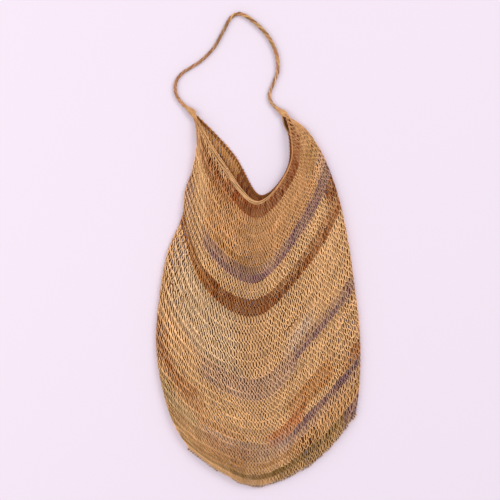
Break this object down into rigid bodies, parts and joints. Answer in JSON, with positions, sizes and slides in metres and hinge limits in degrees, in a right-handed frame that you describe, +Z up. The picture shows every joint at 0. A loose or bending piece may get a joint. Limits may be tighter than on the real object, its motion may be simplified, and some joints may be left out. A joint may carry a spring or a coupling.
{
  "type": "looped string bag",
  "caption": "Looped string net bag lying flat on its back, open at a V-shaped mouth, with a thin plaited strap from corner to corner.",
  "frame": {"origin": "on the surface under the middle of the bag's body, measured without the strap", "axes": "+Y from the bottom of the bag towards its mouth and strap, +Z up from the surface through the bag, +X across the bag"},
  "size_m": [0.2688, 0.6206, 0.0163],
  "materials": {
    "looped_string": "plant-fibre string, tan with dyed brown, purple and olive stretches, matt",
    "plaited_string": "plaited plant-fibre cord, pale tan, matt"
  },
  "bodies": {
    "root": {"bag_body": "looped_string", "strap": "plaited_string"}
  },
  "joints": []
}
